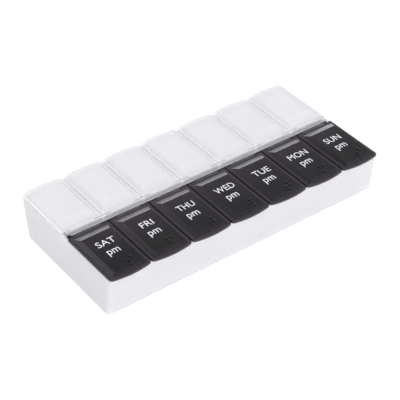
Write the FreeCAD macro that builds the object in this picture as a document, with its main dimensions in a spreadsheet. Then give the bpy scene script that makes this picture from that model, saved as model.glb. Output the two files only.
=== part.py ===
import FreeCAD, Part
import Sketcher

import os
from types import SimpleNamespace

# A weekly pill organizer: one moulded tray with two rows of seven compartments, and two strips of
# hinged lids. Each strip is a rail that plugs into the middle of the tray, and seven lids that hang
# on it by thin hinge webs. X runs along the rows, the evening row lies towards -Y, and Z is up from
# the table. All lengths are in millimetres.

DAYS = ("sat", "fri", "thu", "wed", "tue", "mon", "sun")  # from -X to +X
ROWS = {"pm": 0, "am": 180}  # how far each row's strip is turned about Z, in degrees
DOTS = {  # the raised Braille dots of each day's initial on the evening lids
    "sat": (2, 3, 4),
    "fri": (1, 2, 4),
    "thu": (2, 3, 4, 5),
    "wed": (2, 4, 5, 6),
    "tue": (2, 3, 4, 5),
    "mon": (1, 3, 4),
    "sun": (2, 3, 4),
}

SIZES = {
    # the grid of compartments
    "pitch": 25.0,  # from one compartment to the next
    "lid_gap": 0.6,  # between neighbouring lids
    # the tray
    "tray_height": 24.8,  # up to the rim that the lids lie on
    "rim_half_depth": 41.5,  # from the middle to the front wall, at the rim
    "side_lean": 2.7,  # how far the long walls lean in, from rim to base
    "corner_radius": 2.5,
    "base_radius": 1.0,
    "wall": 1.5,
    "end_wall": 1.2,
    "floor": 1.5,
    "partition": 1.4,
    "scoop_radius": 6.0,  # along the bottom of each compartment
    # the spine between the rows
    "channel_half_width": 3.1,
    "spine_wall": 1.3,
    "deck_drop": 1.3,  # from the rim down to the floor of the channel
    "deck": 1.5,
    # the lids
    "lid_plate": 1.2,
    "lid_reach": 43.6,  # from the middle to the crown of a lid's scalloped front edge
    "scallop_rise": 1.5,
    "front_corner": 1.8,
    "rear_corner": 0.8,
    "lid_edge": 0.35,
    "side_border": 1.8,
    "rear_border": 2.4,
    "front_border": 1.7,
    "panel_rise": 2.0,
    "panel_side_slope": 1.7,
    "panel_rear_slope": 4.9,
    "panel_front_slope": 1.4,
    "panel_skin": 1.2,
    "plug_depth": 2.2,
    "plug_wall": 1.0,
    "plug_side_clearance": 0.3,
    "plug_end_clearance": 0.6,
    "plug_hinge_clearance": 0.3,
    # the Braille dots
    "dot_spacing": 2.5,
    "dot_radius": 0.75,
    "dot_rise": 0.5,
    "dot_round": 0.3,
    "dot_front_margin": 1.05,  # from the lowest row of dots to the panel's front crest
    "dot_side_margin": 4.3,  # from the outer column of dots to the panel's side crest
    # the hinge webs
    "hinge_line": 3.0,  # from the middle to each row's hinge line
    "web_span": 1.0,
    "web_width": 15.0,
    "web_thickness": 0.35,
    # the hinge rails
    "rail_gap": 3.4,  # between the two rails
    "rail_half_length": 85.0,
    "rail_drop": 0.4,  # from the lids' top face down to the rail's top
    "rail_clearance": 0.1,
    "shoulder_drop": 0.2,
    "tab_length": 6.0,
    "tab_wall": 0.2,  # from the tab to the rail's foot, on each side
    "tab_stand_out": 0.6,  # below the deck
    "ear_reach": 1.2,
    "ear_length": 2.0,
    "ear_width": 1.3,
    "overcut": 1.0,  # how far the cutting shapes pass the faces that they open
}


class Size:
    """A length with its present value and the formula on the sheet that gives it."""

    def __init__(self, value, formula):
        self.value = value
        self.formula = formula

    @staticmethod
    def of(item):
        return item if isinstance(item, Size) else Size(float(item), str(float(item)))

    def __add__(self, other):
        other = Size.of(other)
        return Size(self.value + other.value, f"({self.formula} + {other.formula})")

    def __sub__(self, other):
        other = Size.of(other)
        return Size(self.value - other.value, f"({self.formula} - {other.formula})")

    def __mul__(self, other):
        other = Size.of(other)
        return Size(self.value * other.value, f"({self.formula} * {other.formula})")

    def __truediv__(self, other):
        other = Size.of(other)
        return Size(self.value / other.value, f"({self.formula} / {other.formula})")

    def __neg__(self):
        return Size(-self.value, f"(0 - {self.formula})")


doc = FreeCAD.newDocument("pill_organizer")
sheet = doc.addObject("Spreadsheet::Sheet", "sizes")
for row, (alias, number) in enumerate(SIZES.items(), 1):
    sheet.set(f"A{row}", alias)
    sheet.set(f"B{row}", str(number))
    sheet.setAlias(f"B{row}", alias)
doc.recompute()
s = SimpleNamespace(**{alias: Size(number, "sizes." + alias) for alias, number in SIZES.items()})
zero = Size.of(0)


# Heights and places that several pieces share

lid_half_width = (s.pitch - s.lid_gap) / 2
lid_top = s.tray_height + s.lid_plate
panel_top = lid_top + s.panel_rise
cell_half_width = (s.pitch - s.partition) / 2
trough_half_length = s.pitch * (len(DAYS) - 1) / 2 + cell_half_width
tray_half_length = trough_half_length + s.end_wall
trough_inner = s.channel_half_width + s.spine_wall
trough_outer = s.rim_half_depth - s.wall
lean_per_height = s.side_lean / s.tray_height
deck_top = s.tray_height - s.deck_drop
deck_underside = deck_top - s.deck
rail_inner = s.rail_gap / 2
rail_face = s.hinge_line - s.web_span / 2
rail_foot = s.channel_half_width - s.rail_clearance
rail_top = lid_top - s.rail_drop


# Ways to draw and check

def bind(thing, name, size):
    """Ties a property to the sheet."""
    thing.setExpression(name, size.formula)


def new_body(name):
    return doc.addObject("PartDesign::Body", name)


def sketch_on(body, name, role, lift=zero):
    """A sketch on one of the body's own origin planes, lifted along the plane's normal."""
    plane = next(part for part in body.Origin.OriginFeatures if part.Role == role)
    sketch = body.newObject("Sketcher::SketchObject", name)
    sketch.AttachmentSupport = [(plane, "")]
    sketch.MapMode = "FlatFace"
    sketch.AttachmentOffset = FreeCAD.Placement(FreeCAD.Vector(0, 0, lift.value), FreeCAD.Rotation())
    bind(sketch, "AttachmentOffset.Base.z", lift)
    return sketch


def pin(sketch, kind, line, size):
    """Holds the start of a line by one coordinate."""
    index = sketch.addConstraint(Sketcher.Constraint(kind, line, 1, size.value))
    bind(sketch, f"Constraints[{index}]", size)


def draw_outline(sketch, corners, crown=None):
    """A closed outline, counterclockwise. With a crown, the first side is an arc of that rise."""
    first = sketch.GeometryCount
    points = [FreeCAD.Vector(x.value, y.value, 0) for x, y in corners]
    ends = points[1:] + points[:1]
    for number, (start, end) in enumerate(zip(points, ends)):
        if crown and number == 0:
            outward = FreeCAD.Vector(end.y - start.y, start.x - end.x, 0).normalize()
            tip = (start + end) * 0.5 + outward * crown.value
            sketch.addGeometry(Part.Arc(start, tip, end), False)
        else:
            sketch.addGeometry(Part.LineSegment(start, end), False)
    for number, (x, y) in enumerate(corners):
        following = first + (number + 1) % len(corners)
        sketch.addConstraint(Sketcher.Constraint("Coincident", first + number, 2, following, 1))
        pin(sketch, "DistanceX", first + number, x)
        pin(sketch, "DistanceY", first + number, y)
    if crown:
        half_chord = (corners[1][0] - corners[0][0]) / 2
        radius = (half_chord * half_chord + crown * crown) / (crown * 2)
        index = sketch.addConstraint(Sketcher.Constraint("Radius", first, radius.value))
        bind(sketch, f"Constraints[{index}]", radius)


def box_corners(low_x, high_x, low_y, high_y):
    """The corners of a rectangle, counterclockwise from its low corner."""
    return [(low_x, low_y), (high_x, low_y), (high_x, high_y), (low_x, high_y)]


def mirrored(corners):
    """The same outline on the other side of the sketch's vertical axis, counterclockwise."""
    return [(-x, y) for x, y in reversed(corners)]


def extrude(body, kind, name, sketch, length, middle=False, backwards=False):
    """A pad or a pocket of a sketch, from the sketch or to both sides of it."""
    feature = body.newObject("PartDesign::" + kind, name)
    feature.Profile = sketch
    feature.Length = length.value
    bind(feature, "Length", length)
    feature.Midplane = middle
    feature.Reversed = backwards
    doc.recompute()
    return feature


def loft(body, kind, name, lower, upper):
    """A straight-sided loft between two sketches."""
    feature = body.newObject("PartDesign::" + kind, name)
    feature.Profile = lower
    feature.Sections = [upper]
    feature.Ruled = True
    doc.recompute()
    return feature


def round_edges(body, name, radius, chosen):
    """Rounds those edges of the body's tip that the chosen function picks."""
    base = body.Tip
    names = [f"Edge{i}" for i, edge in enumerate(base.Shape.Edges, 1) if chosen(edge)]
    feature = body.newObject("PartDesign::Fillet", name)
    feature.Base = (base, names)
    feature.Radius = radius.value
    bind(feature, "Radius", radius)
    doc.recompute()
    return feature


def repeat(body, name, feature, count):
    """The feature again along X, one pitch apart."""
    pattern = body.newObject("PartDesign::LinearPattern", name)
    pattern.Originals = [feature]
    axis = next(part for part in body.Origin.OriginFeatures if part.Role == "X_Axis")
    pattern.Direction = (axis, [""])
    length = s.pitch * (count - 1)
    pattern.Length = length.value
    bind(pattern, "Length", length)
    pattern.Occurrences = count
    body.Tip = pattern
    doc.recompute()
    return pattern


def at_height(edge, height):
    """Whether the whole edge lies at one height."""
    return all(abs(vertex.Z - height.value) < 1e-4 for vertex in edge.Vertexes)


def rises(edge, height):
    """Whether one end of the edge lies above the other by the height."""
    ends = [vertex.Z for vertex in edge.Vertexes]
    return len(ends) == 2 and abs(abs(ends[0] - ends[1]) - height.value) < 1e-4


def place(body, turn, along):
    """Puts a body that is drawn about X = 0 at its place along the row, on its row's side."""
    rotation = FreeCAD.Rotation(FreeCAD.Vector(0, 0, 1), turn)
    body.Placement = FreeCAD.Placement(FreeCAD.Vector(along.value, 0, 0), rotation)
    bind(body, "Placement.Base.x", along)


# The pieces

def make_tray():
    """The tray: a block that leans in to its base, with two troughs and a spine between them."""
    body = new_body("tray")
    base_half_depth = s.rim_half_depth - s.side_lean
    outer = [
        (-base_half_depth, zero),
        (base_half_depth, zero),
        (s.rim_half_depth, s.tray_height),
        (-s.rim_half_depth, s.tray_height),
    ]
    block = sketch_on(body, "tray_section", "YZ_Plane")
    draw_outline(block, outer)
    extrude(body, "Pad", "tray_block", block, tray_half_length * 2, middle=True)
    round_edges(body, "tray_corners", s.corner_radius, lambda edge: rises(edge, s.tray_height))
    round_edges(body, "tray_foot", s.base_radius, lambda edge: at_height(edge, zero))

    # the wall's inner face follows the lean of its outer face
    floor_outer = trough_outer - lean_per_height * (s.tray_height - s.floor)
    mouth_outer = trough_outer + lean_per_height * s.overcut
    mouth = s.tray_height + s.overcut
    trough = [
        (-floor_outer, s.floor),
        (-trough_inner, s.floor),
        (-trough_inner, mouth),
        (-mouth_outer, mouth),
    ]
    troughs = sketch_on(body, "trough_section", "YZ_Plane")
    draw_outline(troughs, trough)
    draw_outline(troughs, mirrored(trough))
    extrude(body, "Pocket", "troughs", troughs, trough_half_length * 2, middle=True)
    floor_y = (trough_inner.value, floor_outer.value)

    def bottom_of_trough(edge):
        ends = [abs(vertex.Y) for vertex in edge.Vertexes]
        level = abs(ends[0] - ends[-1]) < 1e-4
        return at_height(edge, s.floor) and level and min(abs(ends[0] - y) for y in floor_y) < 1e-4

    round_edges(body, "scoops", s.scoop_radius, bottom_of_trough)

    channel = sketch_on(body, "channel_section", "YZ_Plane")
    draw_outline(channel, box_corners(-s.channel_half_width, s.channel_half_width, deck_top, mouth))
    channel_half_length = s.rail_half_length + s.ear_reach + s.rail_clearance
    extrude(body, "Pocket", "channel", channel, channel_half_length * 2, middle=True)
    hollow = sketch_on(body, "hollow_section", "YZ_Plane")
    below = -s.overcut
    draw_outline(hollow, box_corners(-s.channel_half_width, s.channel_half_width, below, deck_underside))
    extrude(body, "Pocket", "hollow_spine", hollow, trough_half_length * 2, middle=True)

    # each partition and spine rib is rooted half way into the walls around it
    root_inner = s.channel_half_width + s.spine_wall / 2
    root_floor = s.floor / 2
    root_outer = s.rim_half_depth - s.wall / 2
    root_low = root_outer - lean_per_height * (s.tray_height - root_floor)
    partition = [
        (-root_low, root_floor),
        (-root_inner, root_floor),
        (-root_inner, s.tray_height),
        (-root_outer, s.tray_height),
    ]
    first_partition = -(s.pitch * (len(DAYS) - 2) / 2)
    partitions = sketch_on(body, "partition_section", "YZ_Plane", first_partition)
    draw_outline(partitions, partition)
    draw_outline(partitions, mirrored(partition))
    draw_outline(partitions, box_corners(-root_inner, root_inner, zero, deck_underside + s.deck / 2))
    ribs = extrude(body, "Pad", "partition", partitions, s.partition, middle=True)
    repeat(body, "partitions", ribs, len(DAYS) - 1)

    slots = sketch_on(body, "tab_slot_plan", "XY_Plane", deck_top)
    first_day = -(s.pitch * (len(DAYS) - 1) / 2)
    slot_half_length = s.tab_length / 2 + s.rail_clearance
    slot_inner = rail_inner + s.tab_wall - s.rail_clearance
    slot_outer = rail_foot - s.tab_wall + s.rail_clearance
    slot = box_corners(first_day - slot_half_length, first_day + slot_half_length, slot_inner, slot_outer)
    draw_outline(slots, slot)
    other_side = box_corners(first_day - slot_half_length, first_day + slot_half_length, -slot_outer, -slot_inner)
    draw_outline(slots, other_side)
    cuts = extrude(body, "Pocket", "tab_slot", slots, s.deck + s.overcut)
    repeat(body, "tab_slots", cuts, len(DAYS))
    return body


def make_rail(row, turn):
    """The bar that a row's lids hang on, with tabs that plug into the deck and an ear at one end."""
    body = new_body(row + "_hinge_rail")
    section = sketch_on(body, row + "_rail_section", "YZ_Plane")
    shoulder = s.tray_height - s.shoulder_drop
    corners = [
        (-rail_foot, deck_top),
        (-rail_inner, deck_top),
        (-rail_inner, rail_top),
        (-rail_face, rail_top),
        (-rail_face, shoulder),
        (-rail_foot, shoulder),
    ]
    draw_outline(section, corners)
    extrude(body, "Pad", row + "_rail_bar", section, s.rail_half_length * 2, middle=True)
    ear_plan = sketch_on(body, row + "_ear_plan", "XY_Plane", deck_top)
    ear_start = -(s.rail_half_length + s.ear_reach)
    ear_back = -(rail_inner - s.ear_width)
    draw_outline(ear_plan, box_corners(ear_start, ear_start + s.ear_length, -rail_inner - s.tab_wall, ear_back))
    extrude(body, "Pad", row + "_ear", ear_plan, rail_top - deck_top)
    tab_plan = sketch_on(body, row + "_tab_plan", "XY_Plane", deck_top)
    first_day = -(s.pitch * (len(DAYS) - 1) / 2)
    tab_start = first_day - s.tab_length / 2
    tab_end = first_day + s.tab_length / 2
    draw_outline(tab_plan, box_corners(tab_start, tab_end, -(rail_foot - s.tab_wall), -(rail_inner + s.tab_wall)))
    tab = extrude(body, "Pad", row + "_tab", tab_plan, s.deck + s.tab_stand_out, backwards=True)
    repeat(body, row + "_tabs", tab, len(DAYS))
    place(body, turn, zero)
    return body


def make_lid(row, day, turn, along):
    """A lid: a scalloped plate, a raised panel with sloping sides, and a plug rim underneath."""
    name = f"{row}_lid_{day}"
    body = new_body(name)
    notch = s.hinge_line + s.web_span / 2
    corner_reach = s.lid_reach - s.scallop_rise
    outline = [
        (-lid_half_width, -corner_reach),
        (lid_half_width, -corner_reach),
        (lid_half_width, -s.hinge_line),
        (s.web_width / 2, -s.hinge_line),
        (s.web_width / 2, -notch),
        (-s.web_width / 2, -notch),
        (-s.web_width / 2, -s.hinge_line),
        (-lid_half_width, -s.hinge_line),
    ]
    plan = sketch_on(body, name + "_plan", "XY_Plane", s.tray_height)
    draw_outline(plan, outline, crown=s.scallop_rise)
    extrude(body, "Pad", name + "_plate", plan, s.lid_plate)

    def front_corner(edge):
        vertex = edge.Vertexes[0]
        return rises(edge, s.lid_plate) and vertex.Y < -s.rim_half_depth.value / 2

    def rear_corner(edge):
        vertex = edge.Vertexes[0]
        outermost = abs(abs(vertex.X) - lid_half_width.value) < 1e-4
        return rises(edge, s.lid_plate) and outermost and vertex.Y > -s.rim_half_depth.value / 2

    def outer_top_edge(edge):
        middle = edge.valueAt((edge.FirstParameter + edge.LastParameter) / 2)
        beside_web = abs(middle.x) > s.web_width.value / 2 + 1e-4
        return at_height(edge, lid_top) and (beside_web or middle.y < -s.rim_half_depth.value / 2)

    round_edges(body, name + "_front_corners", s.front_corner, front_corner)
    round_edges(body, name + "_rear_corners", s.rear_corner, rear_corner)
    round_edges(body, name + "_edge", s.lid_edge, outer_top_edge)

    panel_half = lid_half_width - s.side_border
    panel_rear = s.hinge_line + s.rear_border
    panel_front = s.lid_reach - s.front_border
    foot = sketch_on(body, name + "_panel_foot", "XY_Plane", lid_top)
    draw_outline(foot, box_corners(-panel_half, panel_half, -panel_front, -panel_rear))
    crest_half = panel_half - s.panel_side_slope
    crest_front = panel_front - s.panel_front_slope
    crest_rear = panel_rear + s.panel_rear_slope
    crest = sketch_on(body, name + "_panel_crest", "XY_Plane", panel_top)
    draw_outline(crest, box_corners(-crest_half, crest_half, -crest_front, -crest_rear))
    loft(body, "AdditiveLoft", name + "_panel", foot, crest)

    plug_half = cell_half_width - s.plug_side_clearance
    plug_front = trough_outer - s.plug_end_clearance
    plug_rear = trough_inner + s.plug_hinge_clearance
    inner_half = plug_half - s.plug_wall
    inner_front = plug_front - s.plug_wall
    inner_rear = plug_rear + s.plug_wall
    plug = sketch_on(body, name + "_plug_plan", "XY_Plane", s.tray_height)
    draw_outline(plug, box_corners(-plug_half, plug_half, -plug_front, -plug_rear))
    draw_outline(plug, box_corners(-inner_half, inner_half, -inner_front, -inner_rear))
    extrude(body, "Pad", name + "_plug", plug, s.plug_depth, backwards=True)

    # the hollow under the panel runs beside its slopes, a skin away
    mouth = sketch_on(body, name + "_hollow_mouth", "XY_Plane", s.tray_height)
    draw_outline(mouth, box_corners(-inner_half, inner_half, -inner_front, -inner_rear))
    roof = sketch_on(body, name + "_hollow_roof", "XY_Plane", panel_top - s.panel_skin)
    roof_half = crest_half - s.panel_skin / 2
    roof_front = inner_front - s.panel_skin / 2
    draw_outline(roof, box_corners(-roof_half, roof_half, -roof_front, -crest_rear))
    loft(body, "SubtractiveLoft", name + "_hollow", mouth, roof)
    if row == "pm":
        raise_dots(body, name, day, crest_half - s.dot_side_margin, s.dot_front_margin - crest_front)
    place(body, turn, along)
    return body


def raise_dots(body, name, day, right, lowest):
    """One Braille cell on the panel: dots 1 to 3 run down its left column and 4 to 6 down its right."""
    cell = sketch_on(body, name + "_dot_plan", "XY_Plane", panel_top)
    for number, dot in enumerate(DOTS[day]):
        column, line = divmod(dot - 1, 3)
        x = right - s.dot_spacing * (1 - column)
        y = lowest + s.dot_spacing * (2 - line)
        cell.addGeometry(Part.Circle(FreeCAD.Vector(x.value, y.value, 0), FreeCAD.Vector(0, 0, 1), s.dot_radius.value))
        for kind, size in (("DistanceX", x), ("DistanceY", y)):
            index = cell.addConstraint(Sketcher.Constraint(kind, number, 3, size.value))
            bind(cell, f"Constraints[{index}]", size)
        index = cell.addConstraint(Sketcher.Constraint("Radius", number, s.dot_radius.value))
        bind(cell, f"Constraints[{index}]", s.dot_radius)
    extrude(body, "Pad", name + "_dots", cell, s.dot_rise)
    round_edges(body, name + "_dot_crowns", s.dot_round, lambda edge: at_height(edge, panel_top + s.dot_rise))


def make_web(row, day, turn, along):
    """The thin web that joins a lid's notch to the rail, sloping down to the rail's top."""
    name = f"{row}_hinge_web_{day}"
    body = new_body(name)
    lid_side = -(s.hinge_line + s.web_span / 2)
    corners = [
        (lid_side, lid_top - s.web_thickness),
        (-rail_face, rail_top - s.web_thickness),
        (-rail_face, rail_top),
        (lid_side, lid_top),
    ]
    section = sketch_on(body, name + "_section", "YZ_Plane")
    draw_outline(section, corners)
    extrude(body, "Pad", name + "_bar", section, s.web_width, middle=True)
    place(body, turn, along)
    return body


def make_strip(row, turn):
    """One row's strip: its rail, and a lid and a web for each day."""
    bodies = [make_rail(row, turn)]
    for number, day in enumerate(DAYS):
        along = s.pitch * (number - (len(DAYS) - 1) / 2)
        bodies.append(make_lid(row, day, turn, along))
        bodies.append(make_web(row, day, turn, along))
    return bodies


pieces = [make_tray()]
for row, turn in ROWS.items():
    pieces += make_strip(row, turn)
doc.recompute()

for thing in doc.Objects:
    if "Invalid" in thing.State or "Error" in thing.State:
        raise RuntimeError(f"{thing.Name} failed: {thing.State}")
for piece in pieces:
    if piece.Shape.isNull() or not piece.Shape.isValid() or not piece.Shape.Solids:
        raise RuntimeError(f"{piece.Label} has no valid solid")

os.makedirs("parts", exist_ok=True)
for piece in pieces:
    piece.Shape.exportStep(f"parts/{piece.Label}.step")
    print(piece.Label, len(piece.Shape.Solids), "solid,", round(piece.Shape.Volume, 1), "mm3")
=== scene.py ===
import math

import bpy
from mathutils import Matrix, Vector


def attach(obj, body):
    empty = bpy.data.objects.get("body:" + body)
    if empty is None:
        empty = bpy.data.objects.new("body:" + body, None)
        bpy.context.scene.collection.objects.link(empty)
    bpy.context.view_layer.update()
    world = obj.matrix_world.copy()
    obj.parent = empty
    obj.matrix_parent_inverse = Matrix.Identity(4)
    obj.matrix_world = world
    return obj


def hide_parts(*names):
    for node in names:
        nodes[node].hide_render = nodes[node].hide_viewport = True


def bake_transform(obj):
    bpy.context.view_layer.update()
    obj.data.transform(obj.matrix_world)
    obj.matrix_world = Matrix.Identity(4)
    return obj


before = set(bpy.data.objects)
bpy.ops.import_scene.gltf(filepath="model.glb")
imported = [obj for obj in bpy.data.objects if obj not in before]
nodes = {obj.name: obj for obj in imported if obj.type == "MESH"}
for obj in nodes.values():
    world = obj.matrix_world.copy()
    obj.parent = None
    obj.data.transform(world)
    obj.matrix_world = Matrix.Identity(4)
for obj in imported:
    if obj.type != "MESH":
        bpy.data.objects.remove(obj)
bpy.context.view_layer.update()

MM = 0.001
DAYS = ("sat", "fri", "thu", "wed", "tue", "mon", "sun")  # from -X to +X
PITCH = 25 * MM
PLATE_TOP = 26 * MM
PANEL_TOP = 28 * MM
HINGE_LINE = 3 * MM  # from the middle to each row's hinge axis


def day_place(number):
    """The middle of a day's compartment along X."""
    return (number - (len(DAYS) - 1) / 2) * PITCH


# Materials

MIX_SOCKETS = {"RGBA": (6, 7, 2), "FLOAT": (2, 3, 0)}  # a Mix node's two inputs and its output


class Shader:
    """A node material with a Principled shader, and short ways to add what feeds it."""

    def __init__(self, name):
        self.material = bpy.data.materials.new(name)
        self.material.use_nodes = True
        self.tree = self.material.node_tree
        self.tree.nodes.clear()
        self.output = self.add("ShaderNodeOutputMaterial")
        self.bsdf = self.add("ShaderNodeBsdfPrincipled")
        self.link(self.bsdf.outputs["BSDF"], self.output.inputs["Surface"])
        self.place = self.add("ShaderNodeTexCoord").outputs["Object"]

    def add(self, kind, **values):
        node = self.tree.nodes.new(kind)
        for name, value in values.items():
            setattr(node, name, value)
        return node

    def link(self, source, target):
        self.tree.links.new(source, target)

    def set(self, name, value):
        """Gives the Principled shader a plain value."""
        self.bsdf.inputs[name].default_value = value

    def feed(self, name, source):
        """Gives the Principled shader a value that varies."""
        self.link(source, self.bsdf.inputs[name])

    def noise(self, scale, detail=3.0, roughness=0.5, stretch=(1, 1, 1), distortion=0.0):
        """Noise over the object's own space; the scale is in cells a metre."""
        mapping = self.add("ShaderNodeMapping")
        mapping.inputs["Scale"].default_value = stretch
        self.link(self.place, mapping.inputs["Vector"])
        noise = self.add("ShaderNodeTexNoise")
        noise.inputs["Scale"].default_value = scale
        noise.inputs["Detail"].default_value = detail
        noise.inputs["Roughness"].default_value = roughness
        noise.inputs["Distortion"].default_value = distortion
        self.link(mapping.outputs["Vector"], noise.inputs["Vector"])
        return noise.outputs[0]

    def span(self, source, low, high, start=0.3, end=0.7):
        """Maps start..end of a value to low..high, clamped; left out, they are the range of a noise."""
        node = self.add("ShaderNodeMapRange")
        node.clamp = True
        node.inputs["From Min"].default_value = start
        node.inputs["From Max"].default_value = end
        node.inputs["To Min"].default_value = low
        node.inputs["To Max"].default_value = high
        self.link(source, node.inputs["Value"])
        return node.outputs["Result"]

    def place_parts(self):
        """X, Y and Z of the shaded point at rest, in metres."""
        split = self.add("ShaderNodeSeparateXYZ")
        self.link(self.place, split.inputs[0])
        return split.outputs

    def combine(self, operation, first, second):
        node = self.add("ShaderNodeMath", operation=operation)
        for socket, value in zip(node.inputs, (first, second)):
            if isinstance(value, (int, float)):
                socket.default_value = value
            else:
                self.link(value, socket)
        return node.outputs[0]

    def from_lid_middle(self, along):
        """How far along the row a point is from the middle of its lid, in metres."""
        cells = self.combine("ADD", self.combine("DIVIDE", along, PITCH), 0.5)
        within = self.combine("SUBTRACT", self.combine("FRACT", cells, 0), 0.5)
        return self.combine("MULTIPLY", self.combine("ABSOLUTE", within, 0), PITCH)

    def mix(self, kind, factor, first, second):
        node = self.add("ShaderNodeMix", data_type=kind)
        first_socket, second_socket, result = MIX_SOCKETS[kind]
        for socket, value in ((first_socket, first), (second_socket, second)):
            if isinstance(value, tuple):
                node.inputs[socket].default_value = (*value, 1)
            else:
                self.link(value, node.inputs[socket])
        self.link(factor, node.inputs[0])
        return node.outputs[result]

    def mottle(self, source, first, second):
        """A colour that wanders between two with a noise."""
        return self.mix("RGBA", self.span(source, 0, 1), first, second)

    def bump(self, source, strength, distance):
        node = self.add("ShaderNodeBump")
        node.inputs["Strength"].default_value = strength
        node.inputs["Distance"].default_value = distance
        self.link(source, node.inputs["Height"])
        self.feed("Normal", node.outputs["Normal"])


def edge_clearness(shader, sides, seam, free_edge):
    """How much of a lid's clearness is left: less where it is thicker, at its sides and its free edge."""
    along, across, _ = shader.place_parts()
    beside = shader.from_lid_middle(along)
    left_at_sides = shader.span(beside, 1, sides, 10.4 * MM, 11.2 * MM)
    left_at_seam = shader.span(beside, 1, seam, 11.7 * MM, 11.95 * MM)
    left_at_free_edge = shader.span(across, 1, free_edge, 39.5 * MM, 41.5 * MM)
    left = shader.combine("MULTIPLY", left_at_sides, left_at_free_edge)
    return shader.combine("MULTIPLY", left, left_at_seam)


def milky_plastic(name, deep, pale, roughness, grain, scatter, reach, shine, clearness, edges=None):
    """Translucent white polypropylene: light spreads inside it, with faint flow clouds and a fine grain."""
    shader = Shader(name)
    clouds = shader.noise(55, 4.0, 0.55, stretch=(1, 1, 1.6))
    wear = shader.noise(240, 5.0, 0.6)
    fine = shader.noise(2600, 2.0, 0.6)
    shader.feed("Base Color", shader.mottle(clouds, deep, pale))
    shader.feed("Roughness", shader.span(wear, roughness - 0.06, roughness + 0.08))
    shader.bump(shader.combine("ADD", fine, shader.combine("MULTIPLY", wear, 0.5)), grain, 0.06 * MM)
    shader.set("IOR", 1.49)
    shader.set("Specular IOR Level", shine)
    shader.set("Subsurface Weight", scatter)
    shader.set("Subsurface Radius", (1.0, 0.97, 1.0))
    shader.set("Subsurface Scale", reach)

    share = shader.span(clouds, clearness - 0.02, clearness + 0.02)
    if edges:
        share = shader.combine("MULTIPLY", share, edge_clearness(shader, **edges))
    # light that has passed through several walls is scattered by the next one
    walls_passed = shader.add("ShaderNodeLightPath").outputs["Transparent Depth"]
    share = shader.combine("MULTIPLY", share, shader.combine("LESS_THAN", walls_passed, 5.5))
    clear = shader.add("ShaderNodeBsdfTransparent")
    clear.inputs["Color"].default_value = (0.99, 0.99, 1.0, 1)
    both = shader.add("ShaderNodeMixShader")
    shader.link(share, both.inputs[0])
    shader.link(shader.bsdf.outputs["BSDF"], both.inputs[1])
    shader.link(clear.outputs[0], both.inputs[2])
    shader.link(both.outputs[0], shader.output.inputs["Surface"])
    return shader.material


def black_plastic(name):
    """Black moulding: a satin border with painted shade on the lids' side faces at the seams, and glossier
    panels and hinge webs with a painted reflection that makes them lighter towards the hinge.
    """
    shader = Shader(name)
    along, across, up = shader.place_parts()
    raised = shader.span(up, 0, 1, PLATE_TOP + 0.1 * MM, PLATE_TOP + 0.3 * MM)
    near_spine = shader.span(across, 0, 1, -HINGE_LINE - 0.6 * MM, -HINGE_LINE - 0.45 * MM)
    glossy = shader.combine("MAXIMUM", raised, near_spine)

    tint = shader.noise(45, 2.0, 0.5)
    border = shader.mottle(tint, (0.036, 0.028, 0.037), (0.045, 0.035, 0.046))
    # painted reflection: each panel is painted lighter towards the hinge and darker towards its front,
    # standing in for the bright horizon it mirrors
    panel_front_dim_reflection = shader.mottle(tint, (0.004, 0.003, 0.005), (0.008, 0.006, 0.008))
    panel_rear_painted_reflection = shader.mottle(tint, (0.019, 0.014, 0.019), (0.027, 0.020, 0.027))
    painted_reflection_toward_hinge = shader.span(across, 0, 1, -32 * MM, -11 * MM)
    panel = shader.mix("RGBA", painted_reflection_toward_hinge, panel_front_dim_reflection, panel_rear_painted_reflection)
    surface = shader.mix("RGBA", glossy, border, panel)
    # painted shade: the lids' side faces at the seams are painted near black, standing in for the shade in
    # the narrow gaps between lids
    painted_seam_shade = shader.span(shader.from_lid_middle(along), 0, 1, 11.9 * MM, 12.1 * MM)
    shader.feed("Base Color", shader.mix("RGBA", painted_seam_shade, surface, (0.002, 0.002, 0.002)))

    smears = shader.noise(90, 4.0, 0.6, stretch=(1, 0.5, 1), distortion=0.6)
    satin = shader.span(smears, 0.42, 0.52)
    polished = shader.span(smears, 0.18, 0.30)
    shader.feed("Roughness", shader.mix("FLOAT", glossy, satin, polished))
    shader.bump(shader.noise(3200, 2.0, 0.6), 0.3, 0.005 * MM)
    shader.set("IOR", 1.52)
    return shader.material


def print_ink(name):
    """White pad-printed ink, slightly uneven in cover."""
    shader = Shader(name)
    cover = shader.noise(900, 4.0, 0.6)
    shader.feed("Base Color", shader.mottle(cover, (0.86, 0.85, 0.87), (0.94, 0.93, 0.95)))
    shader.feed("Roughness", shader.span(cover, 0.42, 0.56))
    shader.bump(shader.noise(2200, 2.0), 0.15, 0.04 * MM)
    return shader.material


tray_plastic = milky_plastic(
    "tray_plastic", deep=(0.925, 0.895, 0.94), pale=(0.95, 0.92, 0.965), roughness=0.42, grain=0.12,
    scatter=0.7, reach=4 * MM, shine=0.5, clearness=0.12,
)
frosted_plastic = milky_plastic(
    "frosted_plastic", deep=(0.955, 0.955, 0.97), pale=(0.965, 0.965, 0.98), roughness=0.68, grain=0.08,
    scatter=0.05, reach=2 * MM, shine=0.2, clearness=0.30,
    edges={"sides": 0.80, "seam": 0.36, "free_edge": 0.65},
)
dark_plastic = black_plastic("black_plastic")
ink = print_ink("white_ink")
ROWS = (("pm", -1, dark_plastic), ("am", 1, frosted_plastic))  # name, side of the spine, plastic


def dress_nodes():
    """Gives each moulding its plastic, and each lid soft edges."""
    plastics = {row: plastic for row, side, plastic in ROWS}
    for name, piece in nodes.items():
        piece.data.materials.clear()
        piece.data.materials.append(plastics.get(name[:2], tray_plastic))
        if "_lid_" in name:
            rounded = piece.modifiers.new("rounded", "BEVEL")
            rounded.width = 0.3 * MM
            rounded.segments = 3
            rounded.limit_method = "ANGLE"
            rounded.angle_limit = math.radians(25)


dress_nodes()


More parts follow.
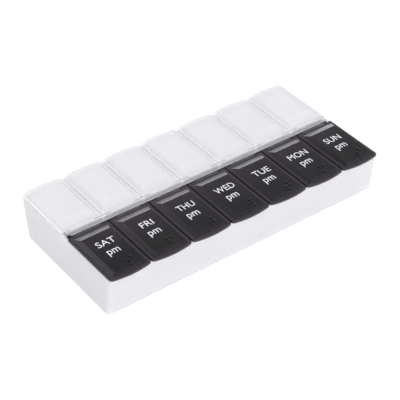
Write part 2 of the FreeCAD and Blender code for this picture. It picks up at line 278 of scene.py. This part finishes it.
# Lettering on the evening lids

CAPITAL = 0.729  # the built-in font's capital height at size 1
WORD_SIZE = 4.65 * MM / CAPITAL
MARK_SIZE = 5.25 * MM / CAPITAL
MARK_SQUEEZE = 0.85
INK_LIFT = 0.02 * MM  # above the panel
# in millimetres but for the squeeze: the word's squeeze, its middle from the lid's and its baseline,
# then the middle and the baseline of the mark under it
PRINT = {
    "sat": (1.01, 0.5, -20.70, 0.1, -28.20),
    "fri": (0.99, 0.25, -20.90, -0.1, -28.20),
    "thu": (0.83, -0.4, -21.15, -1.0, -28.40),
    "wed": (0.84, -0.1, -21.15, -0.6, -28.50),
    "tue": (0.94, -0.6, -21.40, -1.1, -28.55),
    "mon": (0.87, -0.4, -21.40, -0.65, -28.70),
    "sun": (0.90, -0.75, -21.50, -0.9, -28.75),
}


def lettering(name, text, size, middle, baseline, squeeze):
    """Flat printed text on a panel's top, squeezed along the row."""
    curve = bpy.data.curves.new(name, "FONT")
    curve.body = text
    curve.size = 1.0
    curve.resolution_u = 6
    writer = bpy.data.objects.new(name + "_curve", curve)
    bpy.context.scene.collection.objects.link(writer)
    bpy.context.view_layer.update()
    graph = bpy.context.evaluated_depsgraph_get()
    mesh = bpy.data.meshes.new_from_object(writer.evaluated_get(graph))
    bpy.data.objects.remove(writer)

    across = [v.co.x for v in mesh.vertices]
    text_middle = (min(across) + max(across)) / 2
    for v in mesh.vertices:
        x = (v.co.x - text_middle) * size * squeeze + middle
        y = v.co.y * size + baseline
        v.co = Vector((x, y, PANEL_TOP + INK_LIFT))
    mesh.update()
    mesh.materials.clear()
    mesh.materials.append(ink)
    letters = bpy.data.objects.new(name, mesh)
    bpy.context.scene.collection.objects.link(letters)
    return letters


def print_lid(day, x):
    """The day's name, and the mark of the evening row under it."""
    squeeze, word_shift, word_line, mark_shift, mark_line = PRINT[day]
    word = lettering(f"print_{day}", day.upper(), WORD_SIZE, x + word_shift * MM, word_line * MM, squeeze)
    mark = lettering(f"print_{day}_pm", "pm", MARK_SIZE, x + mark_shift * MM, mark_line * MM, MARK_SQUEEZE)
    for letters in (word, mark):
        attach(letters, f"pm_lid_{day}")


for number, day in enumerate(DAYS):
    print_lid(day, day_place(number))


# The hinge webs, drawn at rest as curved strips

WEB_HALF_WIDTH = 7.45 * MM
WEB_START = 2.45 * MM  # from the middle to where a strip leaves its rail
WEB_LENGTH = 1.1 * MM
WEB_BASE = 25.7 * MM  # the strip's top at the rail
WEB_RISE = 0.29 * MM
WEB_THICKNESS = 0.34 * MM
WEB_STEPS = 10


def web_sheet(name, side, x):
    """The mesh of a thin strip from the rail's top to the lid's notch, drawn at rest."""
    verts, faces = [], []
    for step in range(WEB_STEPS + 1):
        t = step / WEB_STEPS
        y = (WEB_START + WEB_LENGTH * t) * side
        top = WEB_BASE + WEB_RISE * t * t * (3 - 2 * t)
        for z in (top, top - WEB_THICKNESS):
            for across in (-WEB_HALF_WIDTH, WEB_HALF_WIDTH):
                verts.append((x + across, y, z))
    for step in range(WEB_STEPS):
        a, b = 4 * step, 4 * step + 4
        faces.append((a, a + 1, b + 1, b))
        faces.append((a + 2, b + 2, b + 3, a + 3))
        faces.append((a, b, b + 2, a + 2))
        faces.append((a + 1, a + 3, b + 3, b + 1))
    last = 4 * WEB_STEPS
    faces.append((0, 2, 3, 1))
    faces.append((last, last + 1, last + 3, last + 2))
    mesh = bpy.data.meshes.new(name)
    mesh.from_pydata(verts, [], faces)
    mesh.update()
    return mesh


def web_strip(row, day, side, plastic, x):
    """A curved strip, drawn at rest, in place of the CAD model's straight web, which is hidden."""
    mesh = web_sheet(f"{row}_web_{day}", side, x)
    mesh.materials.append(plastic)
    strip = bpy.data.objects.new(f"{row}_web_{day}", mesh)
    bpy.context.scene.collection.objects.link(strip)
    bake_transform(strip)
    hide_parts(f"{row}_hinge_web_{day}")


for row, side, plastic in ROWS:
    for number, day in enumerate(DAYS):
        web_strip(row, day, side, plastic, day_place(number))


# Floor, sky and lamps

WHITE = (1, 1, 1, 1)
SEEN_STRENGTH = 1.02  # of the white that the camera sees behind the object
FLOOR_SIZE = 6
FLOOR_DROP = 0.05 * MM  # below the tray, so that the two flat faces don't coincide


def white_floor():
    """A floor that looks pure white to the camera and is matte to all other light."""
    bpy.ops.mesh.primitive_plane_add(size=FLOOR_SIZE, location=(0, 0, -FLOOR_DROP))
    floor = bpy.context.object
    floor.name = "floor"
    material = bpy.data.materials.new("floor_white")
    material.use_nodes = True
    tree = material.node_tree
    tree.nodes.clear()
    output = tree.nodes.new("ShaderNodeOutputMaterial")
    matte = tree.nodes.new("ShaderNodeBsdfDiffuse")
    matte.inputs["Color"].default_value = (0.86, 0.86, 0.87, 1)
    glow = tree.nodes.new("ShaderNodeEmission")
    glow.inputs["Color"].default_value = WHITE
    glow.inputs["Strength"].default_value = SEEN_STRENGTH
    path = tree.nodes.new("ShaderNodeLightPath")
    mix = tree.nodes.new("ShaderNodeMixShader")
    tree.links.new(path.outputs["Is Camera Ray"], mix.inputs[0])
    tree.links.new(matte.outputs[0], mix.inputs[1])
    tree.links.new(glow.outputs[0], mix.inputs[2])
    tree.links.new(mix.outputs[0], output.inputs["Surface"])
    floor.data.materials.append(material)


def studio_sky():
    """White to the camera; to everything else, bright at the horizon and dimmer overhead."""
    world = bpy.data.worlds.new("studio")
    bpy.context.scene.world = world
    world.use_nodes = True
    tree = world.node_tree
    tree.nodes.clear()
    output = tree.nodes.new("ShaderNodeOutputWorld")
    place = tree.nodes.new("ShaderNodeTexCoord")
    split = tree.nodes.new("ShaderNodeSeparateXYZ")
    tree.links.new(place.outputs["Generated"], split.inputs[0])

    def graded(stops):
        """A background whose level goes through the stops, from the horizon at 0 to the zenith at 1."""
        ramp = tree.nodes.new("ShaderNodeValToRGB")
        elements = ramp.color_ramp.elements
        for index, (height, level) in enumerate(stops):
            element = elements[index] if index < 2 else elements.new(height)
            element.position = height
            element.color = (level, level, level * 1.02, 1)
        tree.links.new(split.outputs["Z"], ramp.inputs["Fac"])
        background = tree.nodes.new("ShaderNodeBackground")
        tree.links.new(ramp.outputs["Color"], background.inputs["Color"])
        return background

    mirrored = graded(((0.0, 3.8), (0.10, 3.2), (0.20, 1.1), (0.35, 0.55), (0.60, 0.36), (1.0, 0.45)))
    soft = graded(((0.0, 1.66), (0.25, 1.22), (0.60, 0.87), (1.0, 0.76)))
    seen = tree.nodes.new("ShaderNodeBackground")
    seen.inputs["Color"].default_value = WHITE
    seen.inputs["Strength"].default_value = SEEN_STRENGTH
    path = tree.nodes.new("ShaderNodeLightPath")
    lit = tree.nodes.new("ShaderNodeMixShader")
    tree.links.new(path.outputs["Is Glossy Ray"], lit.inputs[0])
    tree.links.new(soft.outputs[0], lit.inputs[1])
    tree.links.new(mirrored.outputs[0], lit.inputs[2])
    shown = tree.nodes.new("ShaderNodeMixShader")
    tree.links.new(path.outputs["Is Camera Ray"], shown.inputs[0])
    tree.links.new(lit.outputs[0], shown.inputs[1])
    tree.links.new(seen.outputs[0], shown.inputs[2])
    tree.links.new(shown.outputs[0], output.inputs["Surface"])


def soft_lamp(name, place, size, power):
    """A square lamp that points at the object and that nothing mirrors."""
    lamp = bpy.data.lights.new(name, "AREA")
    lamp.shape = "SQUARE"
    lamp.size = size
    lamp.energy = power
    lamp_object = bpy.data.objects.new(name, lamp)
    bpy.context.scene.collection.objects.link(lamp_object)
    lamp_object.location = place
    aim = Vector((0, 0, 10 * MM)) - Vector(place)
    lamp_object.rotation_euler = aim.to_track_quat("-Z", "Y").to_euler()
    lamp_object.visible_glossy = False
    lamp_object.visible_camera = False


white_floor()
studio_sky()
soft_lamp("key", place=(0.1, -1.0, 0.38), size=0.7, power=2.0)
soft_lamp("top", place=(0.0, 0.3, 0.95), size=0.9, power=1.2)


# Camera, as fitted to the photograph

AZIMUTH, ELEVATION, ROLL = (math.radians(angle) for angle in (-36.411, 38.414, -0.102))
TARGET = Vector((0, 0, PLATE_TOP))
SHIFT_RIGHT = -0.0640 * PITCH
SHIFT_UP = -0.5670 * PITCH
DISTANCE = 28.9282 * PITCH
FOCAL_LENGTH_PIXELS = 1350.48
PHOTO_WIDTH_PIXELS = 400
SENSOR_WIDTH = 36


def camera_axes(azimuth, elevation, roll):
    """The camera's right, up and back directions."""
    back = Vector((
        math.sin(azimuth) * math.cos(elevation),
        -math.cos(azimuth) * math.cos(elevation),
        math.sin(elevation),
    ))
    level_right = Vector((math.cos(azimuth), math.sin(azimuth), 0))
    level_up = back.cross(level_right)
    right = level_right * math.cos(roll) + level_up * math.sin(roll)
    up = level_up * math.cos(roll) - level_right * math.sin(roll)
    return right, up, back


def place_camera():
    right, up, back = camera_axes(AZIMUTH, ELEVATION, ROLL)
    data = bpy.data.cameras.new("camera")
    data.sensor_width = SENSOR_WIDTH
    data.lens = FOCAL_LENGTH_PIXELS / PHOTO_WIDTH_PIXELS * SENSOR_WIDTH
    data.clip_start = 10 * MM
    camera = bpy.data.objects.new("camera", data)
    bpy.context.scene.collection.objects.link(camera)
    stand = TARGET + right * SHIFT_RIGHT + up * SHIFT_UP + back * DISTANCE
    camera.matrix_world = Matrix.Translation(stand) @ Matrix((right, up, back)).transposed().to_4x4()
    bpy.context.scene.camera = camera


place_camera()
bpy.context.scene.view_settings.view_transform = "Standard"
